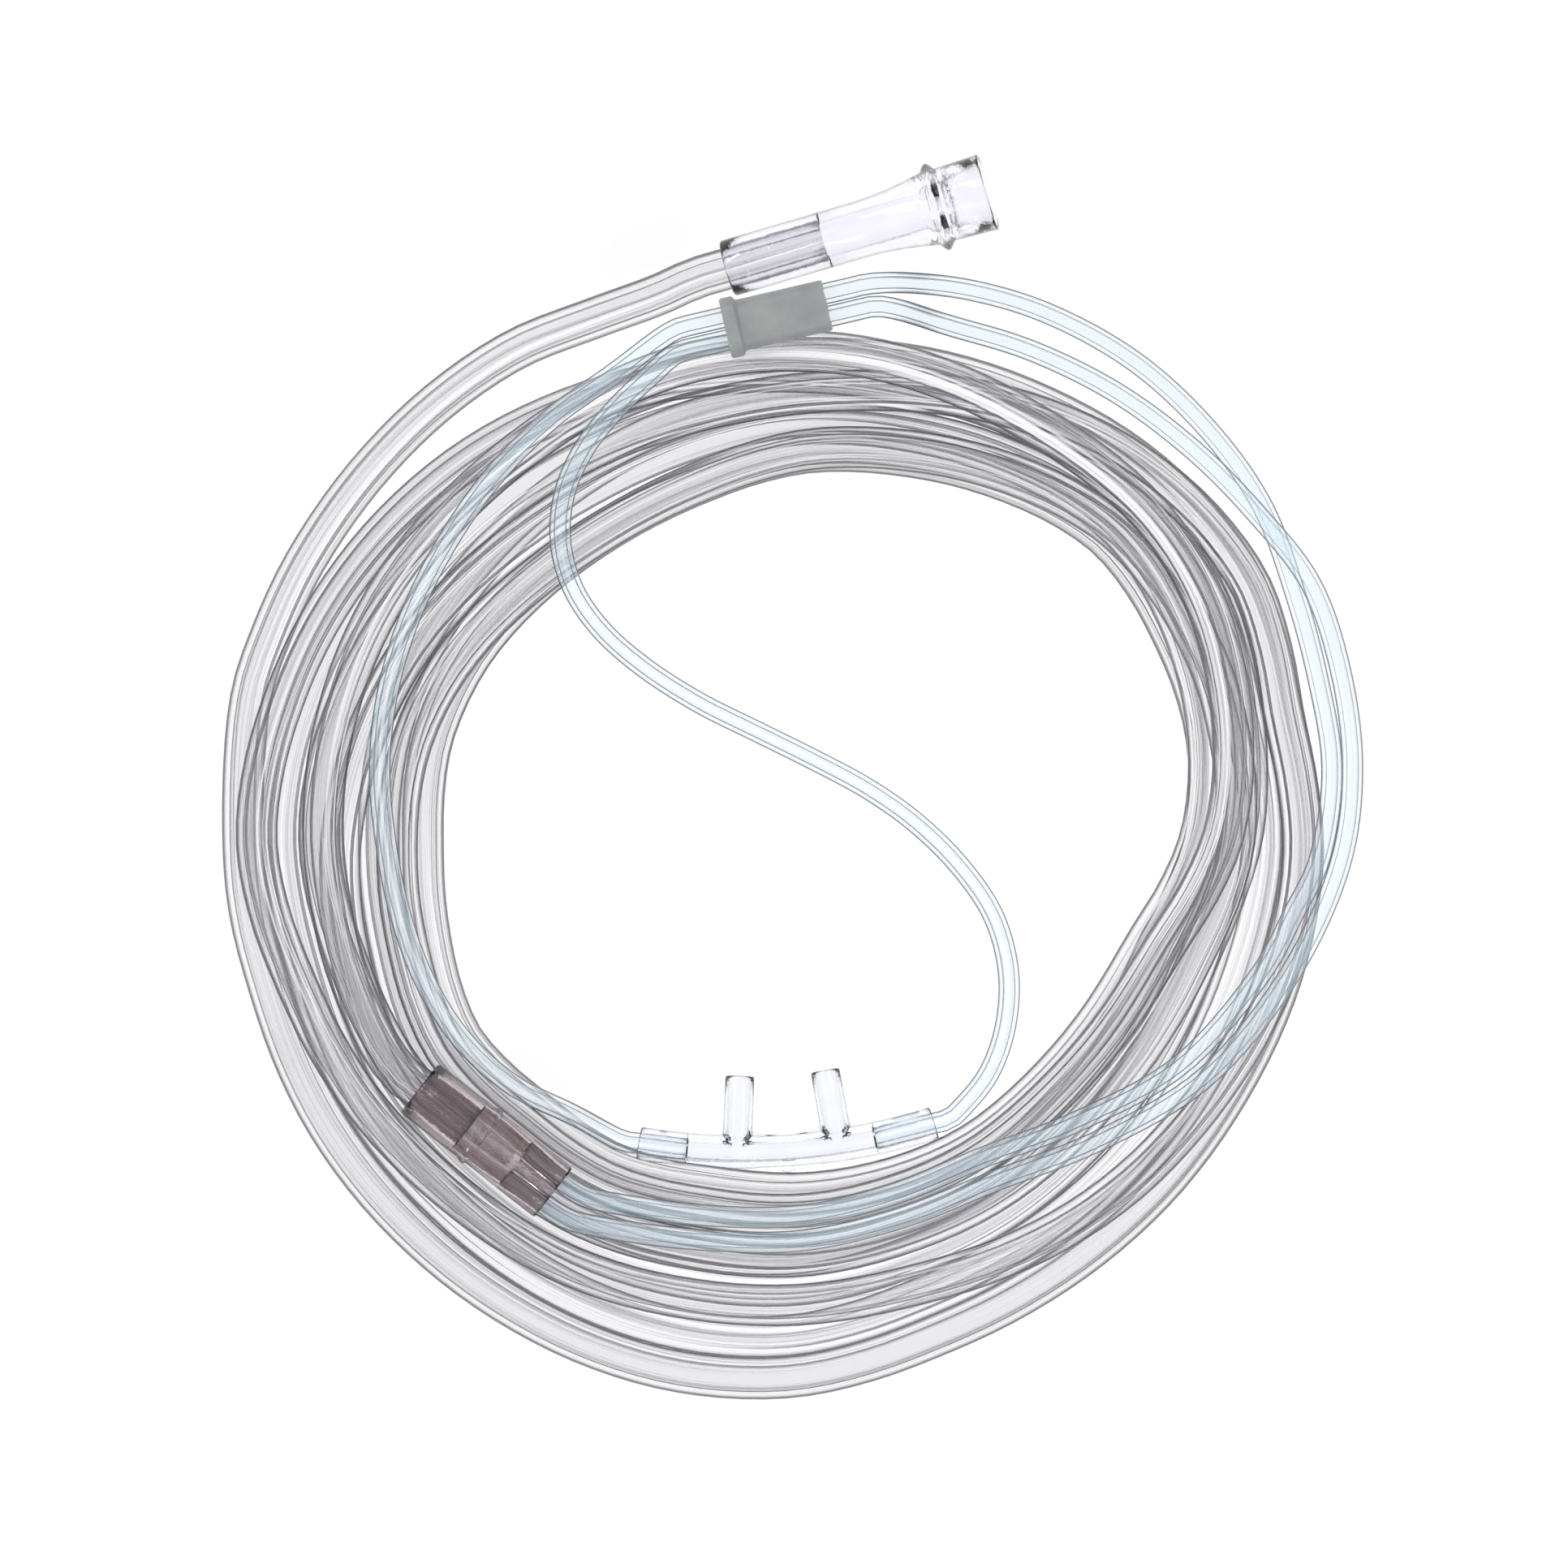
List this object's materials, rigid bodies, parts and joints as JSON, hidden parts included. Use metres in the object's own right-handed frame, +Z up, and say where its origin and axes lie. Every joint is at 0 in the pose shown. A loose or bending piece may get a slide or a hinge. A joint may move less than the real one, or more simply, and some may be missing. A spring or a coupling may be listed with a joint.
{
  "type": "nasal oxygen cannula",
  "caption": "Nasal oxygen cannula wound up flat: clear supply tube in a coil, funnel connector, Y connector, thin headset tubes through a chin slide, and a nosepiece with prongs.",
  "frame": {"origin": "middle of the footprint of the coiled cannula, on the floor", "axes": "+Z up from the floor, +Y towards the funnel connector's end of the coil, +X to the right seen from above"},
  "size_m": [0.1937, 0.2122, 0.0283],
  "materials": {
    "supply_tubing": "clear soft vinyl, glossy",
    "headset_tubing": "clear soft vinyl, glossy, slightly blue",
    "nosepiece": "clear soft moulded vinyl",
    "funnel": "clear moulded vinyl, slightly violet",
    "y_connector": "smoky brown-grey transparent vinyl",
    "slide": "matte translucent grey vinyl"
  },
  "bodies": {
    "root": {"nosepiece": "nosepiece", "y_connector": "y_connector", "funnel_connector": "funnel", "supply_coil": "supply_tubing", "supply_tube_to_funnel": "supply_tubing", "supply_tube_to_y": "supply_tubing", "headset_tube_left": "headset_tubing", "headset_tube_right": "headset_tubing"},
    "slide": {"chin_slide": "slide"}
  },
  "joints": [
    {"name": "slide_on_tubes", "type": "slide", "parent": "root", "child": "slide", "axis": [0.974, 0.2266, 0], "range_m": [-0.005, 0.005]}
  ]
}
